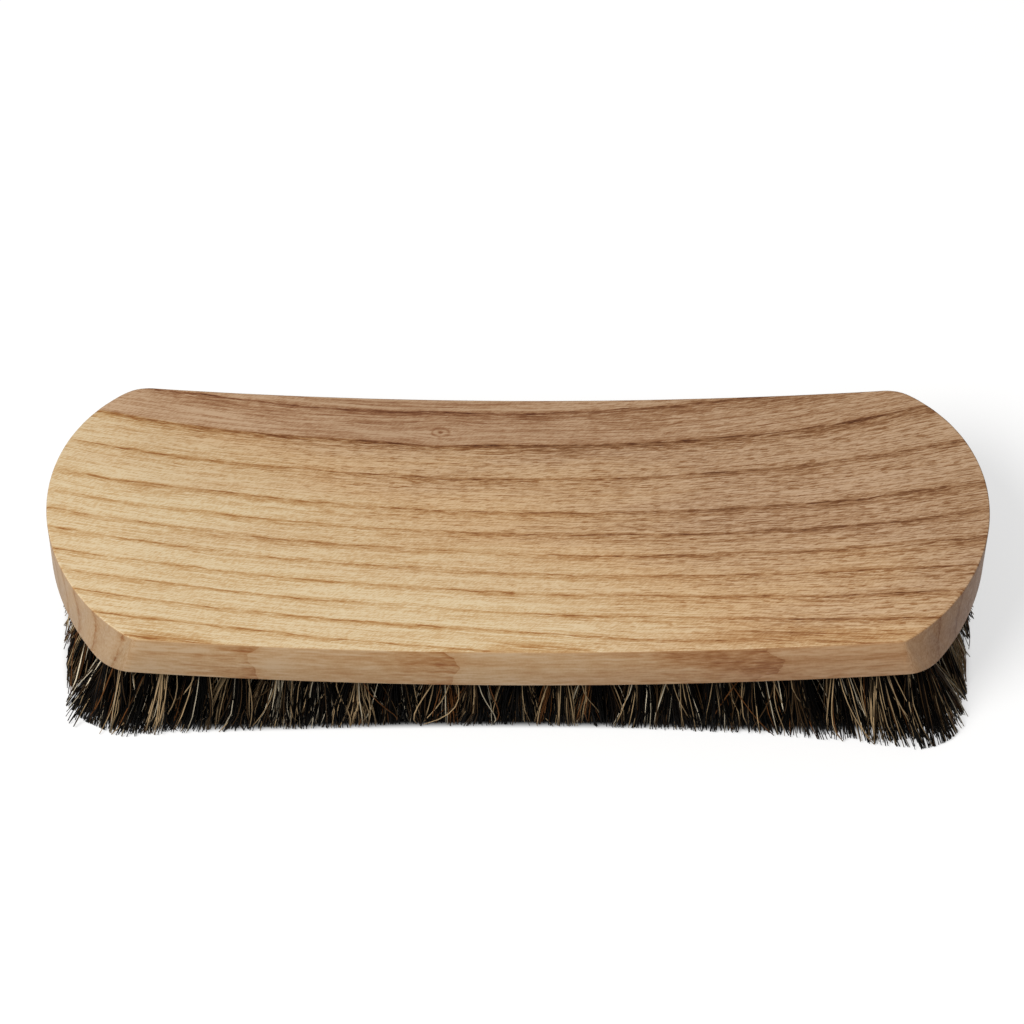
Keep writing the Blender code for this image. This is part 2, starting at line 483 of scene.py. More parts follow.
    def facing(self, w: Wiring, normal: Value) -> tuple[Socket, Socket]:
        """Tells the walls of the block from its top face.

        Args:
            w: the material's nodes.
            normal: the way the surface faces.

        Returns:
            How far a point belongs to a long side, and how far to an end.
        """
        nx, _, nz = w.parts(normal)
        upright = w.minus(1.0, w.step(w.math("ABSOLUTE", nz), 0.4, 0.8))
        end = w.times(w.step(w.math("ABSOLUTE", nx), 0.15, 0.5), upright)
        return w.minus(upright, end), end

    def warmth(self, w: Wiring, x: Value, y: Value, drift: Value) -> Socket:
        """How brown the wood is: pale at the front left and brown at the back right.

        Args:
            w: the material's nodes.
            x: the point's place along the brush.
            y: its place across the brush.
            drift: slow noise.

        Returns:
            0 for the palest wood and 1 for the brownest.
        """
        length, width = self.warming
        across = w.plus(w.times(x, 1 / length), w.times(y, 1 / width))
        across = w.times_plus(w.spread(x, -95, -50, -0.24, 0), w.spread(y, 5, 18, 0, 1), across)
        stray = w.spread(drift, 0, 1, -0.5, 0.5)
        return w.math("ADD", w.plus(across, self.mean_warmth), stray, clamp=True)

    def inside_heart(self, w: Wiring, ring: Value, x: Value, drift: Value) -> Socket:
        """How far a point lies in the reddish wood along the back.

        Args:
            w: the material's nodes.
            ring: where across the log it lies.
            x: its place along the brush.
            drift: slow noise.

        Returns:
            0 outside and almost 1 inside, less towards the right.
        """
        place = w.plus(ring, w.spread(drift, 0, 1, -0.8, 0.8))
        fading = w.spread(x, *self.heart_fades, 0.95, 0.3)
        return w.times(w.step(place, self.heart_at - 0.3, self.heart_at + 0.3), fading)

    def ring_place(self, w: Wiring, place: Value, height: Value) -> Socket:
        """Where across the log a point lies, in mm along the middle of the top face.

        Args:
            w: the material's nodes.
            place: the point.
            height: its height above the middle of the top face.

        Returns:
            The place, wavering a little and bent round the knot.
        """
        x, y, _ = w.parts(place)
        waver = w.times(w.minus(w.noise(place, self.wavering), 0.5), self.waver)
        beside = w.minus(x, self.knot[0])
        across = w.minus(y, self.knot[1])
        reach = w.plus(w.times(beside, beside, -1 / 50), w.times(across, across, -1 / 9))
        bulge = w.times(across, w.math("EXPONENT", reach), -0.75)
        slant = w.times_plus(y, self.slant[1], self.slant[0])
        tilt = w.times_plus(y, self.tilt[1], self.tilt[0])
        ring = w.minus(w.minus(y, w.times(slant, x)), w.times(tilt, height))
        return w.plus(ring, waver, bulge)

    def phase(self, w: Wiring, ring: Value) -> Socket:
        """The number of rings up to a place: narrow rings in front, wide ones behind.

        Args:
            w: the material's nodes.
            ring: the place across the log.

        Returns:
            The number, with its fraction.
        """
        front = w.times(w.minus(ring, self.line_at), 1 / self.front_ring)
        count = (self.widens_at - self.line_at) / self.front_ring
        back = w.times_plus(w.minus(ring, self.widens_at), 1 / self.back_ring, count)
        return w.math("MINIMUM", front, back)

    def ring_lines(self, w: Wiring, point: WoodPoint) -> tuple[Socket, Socket]:
        """The line of big pores at each ring, sharp behind and fading in front.

        Args:
            w: the material's nodes.
            point: the point's values.

        Returns:
            How dark the line is, and how dark the wood in front of it is.
        """
        ring, grain, warm = point.ring, point.grain, point.warm
        ripple = w.minus(w.noise(grain, self.rippling), 0.5)
        ripple = w.times(ripple, w.spread(point.side, 0, 1, *self.ripple))
        phase = self.phase(w, w.plus(ring, ripple))
        fraction = w.math("FRACT", phase)
        width = w.spread(w.step(ring, 0.5, 3.4), 0, 1, self.front_ring, self.back_ring)
        before = w.times(w.minus(1.0, fraction), width)
        behind = w.times(fraction, width)
        heart = w.times(w.step(ring, self.heart_at - 2.5, self.heart_at - 1.5), 0.25)
        along = w.noise(grain, self.ring_parts)
        strength = w.plus(w.spread(w.chance(w.math("FLOOR", phase)), 0, 1, 0.75, 1.0), heart)
        strength = w.times(strength, w.spread(along, 0.34, 0.66, 0.6, 1.5))
        sharp = w.math("MAXIMUM", w.fade(before, self.line_fade), w.fade(behind, self.rear_fade))
        tail = w.times_plus(heart, w.spread(warm, 0.25, 0.55, 0.0, 5.0), w.spread(warm, 0, 1, 1.2, 1.9))
        soft = w.fade(w.math("DIVIDE", before, tail), 1.0)
        broken = w.noise(grain, self.pore_gaps)
        line = w.times(sharp, w.spread(broken, 0.38, 0.6, 0.5, 1.7))
        shade = w.times(soft, w.spread(broken, 0.38, 0.62, 0.35, 1.15))
        return w.times(line, strength), w.times(shade, strength)

    def dashes(self, w: Wiring, point: WoodPoint, shade: Value) -> Socket:
        """Short dark pore dashes along the grain, thickest near the rings and in the brown wood.

        Args:
            w: the material's nodes.
            point: the point's values.
            shade: how dark the wood in front of a ring is.

        Returns:
            How dark the dashes are.
        """
        small = w.noise(point.grain, self.small_pores)
        large = w.noise(point.grain, self.large_pores)
        edge = w.minus(0.66, w.plus(w.times(shade, 0.08), w.times(point.warm, 0.08)))
        fine = w.step(small, edge, w.plus(edge, 0.06))
        coarse = w.step(large, w.plus(edge, 0.03), w.plus(edge, 0.09))
        return w.times(w.math("MAXIMUM", fine, coarse), w.spread(point.warm, 0, 0.6, 0.4, 1.2))

    def streaks(self, w: Wiring, point: WoodPoint, shade: Value) -> Socket:
        """Darker and lighter streaks along the grain.

        Args:
            w: the material's nodes.
            point: the point's values.
            shade: how dark the wood in front of a ring is.

        Returns:
            How much darker than an even density the streaks are.
        """
        layers = (
            (w.noise(point.grain, self.bands), 1.7),
            (w.noise(point.grain, self.long_streaks), 2.2),
            (w.noise(point.grain, self.short_streaks), w.spread(point.inside, 0, 1, 2.2, 1.3)),
        )
        total = 0.0
        for layer, strength in layers:
            total = w.times_plus(w.minus(layer, 0.5), strength, total)
        gain = w.times_plus(point.inside, 0.5, w.spread(point.warm, 0, 1, 0.85, 1.1))
        return w.times(total, w.times_plus(shade, 0.5, gain))

    def edge_stain(self, w: Wiring, point: WoodPoint) -> Socket:
        """Brown streaks on the top face close to the front edge.

        Args:
            w: the material's nodes.
            point: the point's values.

        Returns:
            How dark they are.
        """
        total = 0.0
        for middle, half, ring in self.edge_streaks:
            close = w.bell(w.times(w.minus(point.ring, float(ring)), 1 / self.streak_width))
            aside = w.math("ABSOLUTE", w.minus(point.x, float(middle)))
            along = w.minus(1.0, w.step(aside, half * 0.5, half * 1.3))
            total = w.times_plus(close, along, total)
        broken = w.spread(w.noise(point.grain, self.streak_gaps), 0.36, 0.62, 0.1, 1.8)
        return w.times(total, broken, w.minus(1.0, point.upright))

    def knot_stain(self, w: Wiring, point: WoodPoint) -> Socket:
        """The small dark heart of the knot, and the line round it.

        Args:
            w: the material's nodes.
            point: the point's values.

        Returns:
            How dark they are.
        """
        beside = w.times(w.minus(point.x, self.knot[0]), 1 / self.knot_length)
        across = w.minus(point.y, self.knot[1])
        far = w.math("SQRT", w.plus(w.times(beside, beside), w.times(across, across)))
        heart = w.minus(1.0, w.step(far, 0.15, 0.5))
        rim = w.bell(w.times(w.minus(far, 1.15), 4.5))
        return w.times_plus(rim, 0.85, w.times(heart, 1.6))

    def ray_flecks_and_sheen(self, w: Wiring, point: WoodPoint) -> Socket:
        """The fine slanting flecks of the rays, partly lighter wood and partly a painted sheen, which lighten
        the wood.

        Args:
            w: the material's nodes.
            point: the point's values.

        Returns:
            How much darker the wood is for it, mostly below 0.
        """
        turned = w.node("ShaderNodeMapping", {"Vector": point.place, "Rotation": (0, 0, self.ray_turn)})
        # painted sheen: the glints of the rays lighten the colour
        glints = w.noise(turned.outputs[0], self.rays)
        return w.times(w.spread(glints, 0.3, 0.75, 0.3, -0.6), w.spread(point.warm, 0, 1, 1.0, 0.8))

    def stained(self, w: Wiring, point: WoodPoint, dark: Value) -> Socket:
        """The wood's colour.

        Args:
            w: the material's nodes.
            point: the point's values.
            dark: how dense the dark matter in the wood is.

        Returns:
            The clean wood's colour, less what the dark matter takes away.
        """
        warm, inside = point.warm, point.inside
        base = w.blend(w.spread(warm, 0, 0.5, 0, 1), linear(*self.pale), linear(*self.honey))
        base = w.blend(w.spread(warm, 0.5, 1, 0, 1), base, linear(*self.brown))
        heart = w.blend(w.step(point.x, *self.heart_deepens), linear(*self.heart), linear(*self.deep_heart))
        base = w.blend(inside, base, heart)
        base = w.blend(point.side, base, self.side_share, "MULTIPLY")
        base = w.blend(point.end, base, self.end_share, "MULTIPLY")
        tint = w.blend(warm, self.pale_stain, self.brown_stain)
        tint = w.blend(inside, tint, self.heart_stain)
        parts = w.node("ShaderNodeSeparateColor", {0: tint}).outputs
        left = {i: w.math("POWER", parts[i], dark) for i in range(3)}
        return w.blend(1.0, base, w.node("ShaderNodeCombineColor", left).outputs[0], "MULTIPLY")


class HairTone(Enum):
    """The natural colours of the hair: the share of the hairs and the sRGB colour."""

    BLACK = (0.50, (4, 3, 2))
    DARK_BROWN = (0.19, (17, 11, 7))
    BROWN = (0.11, (66, 49, 31))
    RUSSET = (0.03, (118, 76, 42))
    TAN = (0.10, (166, 141, 106))
    GREY_BLOND = (0.07, (226, 212, 184))


@dataclass(frozen=True)
class Horsehair:
    """Untreated horsehair of mixed colours. Each hair's tone is its u and its length its v."""

    roughness: tuple = (0.44, 0.60)
    streaks: Grains = Grains((1, 0.14, 1))
    streak_gap: float = 3.7  # how far apart in the noise the streaks of two tones lie
    relief: float = 0.00003

    def make(self) -> bpy.types.Material:
        """Builds the material.

        Returns:
            The material, on the hairs' own UV map.
        """
        w = Wiring("horsehair")
        u, v, _ = w.parts(w.node("ShaderNodeUVMap", {}, uv_map=HAIR_MAP).outputs[0])
        ramp = w.node("ShaderNodeValToRGB", {0: u})
        ramp.color_ramp.interpolation = "CONSTANT"
        stops = ramp.color_ramp.elements
        stops.remove(stops[1])
        start = 0.0
        for number, tone in enumerate(HairTone):
            share, colour = tone.value
            stop = stops[0] if number == 0 else stops.new(start)
            stop.color = linear(*colour)
            start += share
        column = w.math("FLOOR", w.times(u, float(TONE_COLUMNS)))
        apart = w.joined(w.times(column, self.streak_gap), v)
        streak = w.noise(apart, self.streaks)
        gain = w.times(w.spread(w.chance(column), 0, 1, 0.7, 1.3), w.spread(streak, 0.3, 0.7, 0.8, 1.2))
        # each hair darker towards its root, partly dust and partly painted shade under the block, and lighter
        # towards its tip
        gain = w.times(gain, w.spread(v, 0.0, 1.0, 0.85, 1.1))
        colour = w.node("ShaderNodeVectorMath", {0: ramp.outputs[0], "Scale": gain}, operation="SCALE")
        w.put(w.shader.inputs["Base Color"], colour.outputs[0])
        w.put(w.shader.inputs["Roughness"], w.spread(streak, 0.2, 0.8, *self.roughness))
        w.relief(streak, 0.15, self.relief)
        w.shader.inputs["Specular IOR Level"].default_value = 0.05
        return w.material


@dataclass(frozen=True)
class PaleFloor:
    """A matt white floor that the camera sees as white, apart from the shadow on it and a painted shadow
    under the standing hair.
    """

    white: float = 0.44
    bounce: float = 0.30
    # the colour of the painted shadow under the standing hair
    painted_shadow_under_hair: float = 0.02
    lift: float = 0.62
    covered: tuple = (0.0965, 0.0320, 0.0035)  # the hair's half length and width, and its flare
    squareness: float = 6.0
    painted_shadow_edge: tuple = (0.80, 1.20)

    def make(self) -> bpy.types.Material:
        """Builds the material.

        Returns:
            The material, on Object coordinates.
        """
        w = Wiring("pale_floor")
        w.shader.inputs["Roughness"].default_value = 1.0
        w.shader.inputs["Specular IOR Level"].default_value = 0.0
        path = w.node("ShaderNodeLightPath", {})
        seen = w.math("MAXIMUM", path.outputs["Is Camera Ray"], path.outputs["Is Glossy Ray"])
        seen = w.math("MAXIMUM", seen, path.outputs["Is Transmission Ray"])
        clear = self.clear(w)
        # painted shadow: the camera sees the floor under the hair near black and without glow
        shown = w.blend(clear, (self.painted_shadow_under_hair,) * 3, (self.white,) * 3)
        w.put(w.shader.inputs["Base Color"], w.blend(seen, (self.bounce,) * 3, shown))
        w.put(w.shader.inputs["Emission Color"], (1, 1, 1))
        w.put(w.shader.inputs["Emission Strength"], w.times(seen, w.times(clear, self.lift)))
        return w.material

    def clear(self, w: Wiring) -> Socket:
        """Tells open floor from the floor under the standing hair, which carries a painted shadow and is as
        good as unlit.

        Args:
            w: the material's nodes.

        Returns:
            0 under the hair and 1 outside it.
        """
        x, y, _ = w.parts(w.node("ShaderNodeTexCoord", {}).outputs["Object"])
        length, width, flare = self.covered
        along = w.times(w.math("ABSOLUTE", x), 1 / length)
        wide = w.times_plus(w.times(along, along), flare, width)
        across = w.math("DIVIDE", w.math("ABSOLUTE", y), wide)
        total = w.plus(w.math("POWER", along, self.squareness), w.math("POWER", across, self.squareness))
        return w.step(total, *self.painted_shadow_edge)


# The brush


@dataclass(frozen=True)
class Outline:
    """The outline of one face of the block: straight sides, arcs for ends and rounded corners."""

    length: float
    width: float
    bow: float
    corners: tuple  # the radii of front right, back right, back left and front left

    @property
    def radius(self) -> float:
        """The radius of the ends."""
        half = self.width / 2
        return (half**2 + self.bow**2) / (2 * self.bow)

    @property
    def centre(self) -> float:
        """How far from the middle each end's arc is centred."""
        return self.length / 2 - self.radius

    def reach(self, across: float) -> float:
        """How far the ends lie from the middle at this distance across."""
        return self.centre + math.sqrt(self.radius**2 - across**2)

    def corner_run(self, corner: float) -> float:
        """How far from the middle a corner's arc is centred."""
        rise = self.width / 2 - corner
        return self.centre + math.sqrt((self.radius - corner) ** 2 - rise**2)


@dataclass(frozen=True)
class BlockShape:
    """The sizes of the curved block, as the frame has them."""

    top: Outline = Outline(0.203, 0.066, 0.0191, (0.004, 0.010, 0.0105, 0.006))
    bottom: Outline = Outline(0.2017, 0.066, 0.0132, (0.009, 0.010, 0.010, 0.010))
    thickness: float = 0.013
    end_rise: float = 0.007
    underside: float = 0.017

    @property
    def rise_radius(self) -> float:
        """The radius of the arc that the faces follow."""
        half = self.top.length / 2
        return (half**2 + self.end_rise**2) / (2 * self.end_rise)

    def lift(self, along: float) -> float:
        """How much higher the faces are here than in the middle."""
        return self.rise_radius - math.sqrt(self.rise_radius**2 - along**2)

    def place(self, along: float, across: float, height: float) -> Vector:
        """Where a point of the flat slab goes. Heights are above the underside."""
        return Vector((along, across, self.underside + height + self.lift(along)))

    def up(self, along: float) -> Vector:
        """The faces' upward normal at this distance along them."""
        angle = math.asin(along / self.rise_radius)
        return Vector((-math.sin(angle), 0, math.cos(angle)))


@dataclass(frozen=True)
class Hole:
    """One blind hole: where it opens on the flat slab, and how it leans across."""

    along: float
    across: float
    lean: float

    def frame(self, shape: BlockShape) -> Matrix:
        """Places the hole on the bent block.

        Args:
            shape: the block.

        Returns:
            The hole's frame: its origin in the mouth and +Z up its axis.
        """
        up = shape.up(self.along) - Vector((0, math.tan(self.lean), 0))
        turn = up.to_track_quat("Z", "Y").to_matrix().to_4x4()
        return Matrix.Translation(shape.place(self.along, self.across, 0)) @ turn


@dataclass(frozen=True)
class HoleRows:
    """The staggered rows of holes."""

    shape: BlockShape
    counts: tuple = (21, 22, 23, 24, 23, 22, 21)
    outer: float = 0.0256
    radius: float = 0.0023
    depth: float = 0.0085
    end_margin: float = 0.0088
    outer_lean: float = math.radians(11)

    def across(self, row: int) -> float:
        """How far across the block a row lies."""
        return self.outer * (2 * row / (len(self.counts) - 1) - 1)

    def pitch(self, row: int) -> float:
        """The distance from hole to hole along a row."""
        half = self.shape.bottom.reach(self.across(row)) - self.end_margin
        return 2 * half / (self.counts[row] - 1)

    @property
    def row_pitch(self) -> float:
        """The distance from row to row."""
        return 2 * self.outer / (len(self.counts) - 1)

    def holes(self, row: int) -> list[Hole]:
        """Lays out one row.

        Args:
            row: its number, from the front.

        Returns:
            The holes from left to right.
        """
        across = self.across(row)
        lean = self.outer_lean * across / self.outer
        pitch = self.pitch(row)
        count = self.counts[row]
        return [Hole(pitch * (i - (count - 1) / 2), across, lean) for i in range(count)]

    def fill(self, pattern: Thing, middle: Matrix, name: str) -> Thing:
        """Puts a copy of one object in every hole.

        Args:
            pattern: the object, which is removed.
            middle: its place in a hole's frame.
            name: the name of the joined copies.

        Returns:
            The copies in one object.
        """
        holes = [hole for row in range(len(self.counts)) for hole in self.holes(row)]
        copies = [copy_of(pattern, hole.frame(self.shape) @ middle) for hole in holes]
        bpy.data.objects.remove(pattern)
        return join(copies, name)


@dataclass
class Block:
    """The wooden block, modelled flat, lifted towards its ends and then drilled."""

    shape: BlockShape
    rows: HoleRows
    edge_round: float = 0.0004
    edge_steps: int = 3
    corner_steps: int = 8
    end_steps: int = 72
    cuts: int = 44
    drill_sides: int = 14
    drill_overrun: float = 0.002
    drill_tip: tuple = (0.3, 0.0005)  # the inset as a share of the radius, and the height
    cage: tuple = (0.22, 0.1, 0.1)  # the size of the lattice that bends the slab
    cage_points: int = 64
    smooth_angle: float = math.radians(35)

    def build(self) -> Thing:
        """Models the block.

        Returns:
            The finished block, in the frame's place.
        """
        half = self.shape.thickness / 2
        slab = join([self.loop(self.shape.bottom, -half), self.loop(self.shape.top, half)], "block_dressed")
        self.close(slab)
        self.round_rims(slab)
        self.cut_across()
        self.lift(slab)
        self.drill(slab)
        choose(slab)
        bpy.ops.object.shade_smooth_by_angle(angle=self.smooth_angle)
        return slab

    def loop(self, outline: Outline, height: float) -> Thing:
        """Draws one outline: a corner pulled along a side, spun round an end, and back the same way.

        Args:
            outline: the outline.
            height: where it lies above the middle of the slab.

        Returns:
            The closed line.
        """
        front_right, back_right, back_left, front_left = outline.corners
        deselect()
        bpy.ops.mesh.primitive_plane_add(size=MM, location=(0, 0, 0))
        line = bpy.context.object
        edit(line)
        bpy.ops.mesh.select_all(action="SELECT")
        bpy.ops.mesh.merge(type="CENTER")
        near, far = outline.corner_run(front_left), outline.corner_run(front_right)
        bpy.ops.transform.translate(value=(-near, -outline.width / 2, height))
        bpy.ops.mesh.extrude_region_move(TRANSFORM_OT_translate={"value": (near + far, 0, 0)})
        self.spin_end(outline, 1, front_right, back_right)
        near, far = outline.corner_run(back_left), outline.corner_run(back_right)
        bpy.ops.mesh.extrude_region_move(TRANSFORM_OT_translate={"value": (-near - far, 0, 0)})
        self.spin_end(outline, -1, back_left, front_left)
        bpy.ops.mesh.select_all(action="SELECT")
        bpy.ops.mesh.remove_doubles(threshold=1e-6)
        bpy.ops.object.mode_set(mode="OBJECT")
        return line

    def spin_end(self, outline: Outline, side: int, first: float, second: float) -> None:
        """Spins the selected point round one end: a corner, the end's arc and the other corner.

        Args:
            outline: the outline that is drawn.
            side: 1 for the right end, from front to back, and -1 for the left end, from back to front.
            first: the radius of the corner that comes first.
            second: the radius of the other corner.
        """
        runs, rises, meets = [], [], []
        for corner in (first, second):
            runs.append(outline.corner_run(corner))
            rises.append(outline.width / 2 - corner)
            meets.append(math.atan2(rises[-1], runs[-1] - outline.centre))
        turns = (
            (side * runs[0], -side * rises[0], math.pi / 2 - meets[0], self.corner_steps),
            (side * outline.centre, 0, meets[0] + meets[1], self.end_steps),
            (side * runs[1], side * rises[1], math.pi / 2 - meets[1], self.corner_steps),
        )
        for x, y, angle, steps in turns:
            bpy.ops.mesh.spin(
                steps=steps, angle=SPIN_SENSE * angle, center=(x, y, 0), axis=(0, 0, 1), dupli=False
            )

    def close(self, slab: Thing) -> None:
        """Joins the outlines by a wall, and fills the top and the underside.

        Args:
            slab: the two outlines.
        """
        half = self.shape.thickness / 2
        edit(slab)
        bpy.ops.mesh.select_mode(type="EDGE")
        bpy.ops.mesh.select_all(action="SELECT")
        bpy.ops.mesh.bridge_edge_loops()
        for side in (1, -1):
            pick(slab, "EDGE", lambda middle, way: middle.z * side > half * 0.99)
            bpy.ops.mesh.edge_face_add()
        bpy.ops.mesh.select_all(action="SELECT")
        bpy.ops.mesh.normals_make_consistent(inside=False)

    def round_rims(self, slab: Thing) -> None:
        """Rounds the rims of the top and the underside.

        Args:
            slab: the slab, in edit mode.
        """
        half = self.shape.thickness / 2
        pick(slab, "EDGE", lambda middle, way: abs(middle.z) > half * 0.99)
        bpy.ops.mesh.bevel(offset=self.edge_round, segments=self.edge_steps, affect="EDGES", profile=0.5)

    def cut_across(self) -> None:
        """Cuts the slab that is open in edit mode across at even steps, so that its faces can rise."""
        for number in range(1, self.cuts):
            x = self.shape.top.length * (number / self.cuts - 0.5)
            bpy.ops.mesh.select_all(action="SELECT")
            bpy.ops.mesh.bisect(plane_co=(x, 0, 0), plane_no=(1, 0, 0))
        bpy.ops.object.mode_set(mode="OBJECT")

    def lift(self, slab: Thing) -> None:
        """Sets the slab at its height, inside a lattice whose ends are pulled up.

        Args:
            slab: the flat slab.
        """
        deselect()
        bpy.ops.object.add(type="LATTICE", location=(0, 0, 0))
        cage = bpy.context.object
        cage.scale = self.cage
        cage.data.points_u, cage.data.points_v, cage.data.points_w = self.cage_points, 2, 2
        cage.data.interpolation_type_u = "KEY_CARDINAL"
        for point in cage.data.points:
            along = point.co_deform.x * cage.scale.x
            point.co_deform.z += self.shape.lift(along) / cage.scale.z
        curve = slab.modifiers.new("rise", "LATTICE")
        curve.object = cage
        bpy.context.view_layer.update()
        apply_modifier(slab, curve.name)
        bpy.data.objects.remove(cage)
        slab.location = (0, 0, self.shape.underside + self.shape.thickness / 2)
        settle(slab)

    def drill(self, slab: Thing) -> None:
        """Drills every hole with copies of one drill.

        Args:
            slab: the bent slab.
        """
        deselect()
        inset, rise = self.drill_tip
        depth = self.rows.depth + self.drill_overrun
        bpy.ops.mesh.primitive_cylinder_add(vertices=self.drill_sides, radius=self.rows.radius, depth=depth)
        drill = bpy.context.object
        edit(drill)
        pick(drill, "FACE", lambda middle, normal: normal.z > 0.9)
        bpy.ops.mesh.inset(thickness=self.rows.radius * inset)
        bpy.ops.transform.translate(value=(0, 0, rise))
        bpy.ops.object.mode_set(mode="OBJECT")
        middle = Matrix.Translation((0, 0, (self.rows.depth - self.drill_overrun) / 2))
        drills = self.rows.fill(drill, middle, "drills")
        cut = slab.modifiers.new("holes", "BOOLEAN")
        cut.operation = "DIFFERENCE"
        cut.solver = "EXACT"
        cut.object = drills
        apply_modifier(slab, cut.name)
        bpy.data.objects.remove(drills)


@dataclass(frozen=True)
class HairCut:
    """How one kind of hair grows."""

    per_tuft: int
    thickness: tuple = (0.00022, 0.00034)
    along_share: float = 0.60  # how far a tuft spreads, as a share of the distance to the next
    across_share: float = 0.54
    looseness: float = 0.26  # how far a hair strays from its lock
    bundling: float = 0.35  # how far the locks draw their hairs together
    curl: float = 0.0012
    wildness: float = 0.0  # how far a hair strays from its tuft
    tones: tuple = (0.0, 1.0)  # the part of the map that the hairs are coloured from
    alike: float = 0.45  # the share of a lock's hairs that have one tone
    end_tufts: int = 0  # if not 0, only this many tufts at each end grow such hair
    raggedness: float = 0.0002
    rings: int = 5


@dataclass(frozen=True)
class Rim:
    """The line to which the tips at the rim of the brush are trimmed: it widens towards rounded corners."""

    length: float = 0.0977
    width: float = 0.0324
    end_stray: float = 2.6
    flares: tuple = (0.0062, 0.0046, 0.0040, 0.0034)  # front right, back right, back left and front left
    corner: float = 0.018
    growth: float = 2.0
    flare_at: float = 0.090

    def breadth(self, x: Numbers, y: Numbers) -> Numbers:
        """Measures the rim beside points, without its rounded corners.

        Args:
            x: where the points lie along the brush.
            y: where they lie across it.

        Returns:
            How far across the rim lies.
        """
        front_right, back_right, back_left, front_left = self.flares
        right = np.where(y < 0, front_right, back_right)
        left = np.where(y < 0, front_left, back_left)
        flare = np.where(x > 0, right, left)
        return self.width + flare * (np.abs(x) / self.flare_at) ** self.growth

    def inside(self, x: Numbers, y: Numbers, stray: Numbers) -> tuple[Numbers, Numbers]:
        """Brings points in behind the rim and its rounded corners.

        Args:
            x: where the points lie along the brush.
            y: where they lie across it.
            stray: how far past the rim each may reach.

        Returns:
            The new places along and across.
        """
        far, wide = self.length + self.end_stray * stray, self.breadth(x, y) + stray
        along, across = np.minimum(np.abs(x), far), np.minimum(np.abs(y), wide)
        over_x, over_y = along - (far - self.corner), across - (wide - self.corner)
        past = np.hypot(over_x, over_y)
        outside = (over_x > 0) & (over_y > 0) & (past > self.corner)
        pull = np.where(outside, self.corner / np.maximum(past, 1e-9), 1)
        along = np.where(pull < 1, far - self.corner + over_x * pull, along)
        across = np.where(pull < 1, wide - self.corner + over_y * pull, across)
        return np.sign(x) * along, np.sign(y) * across


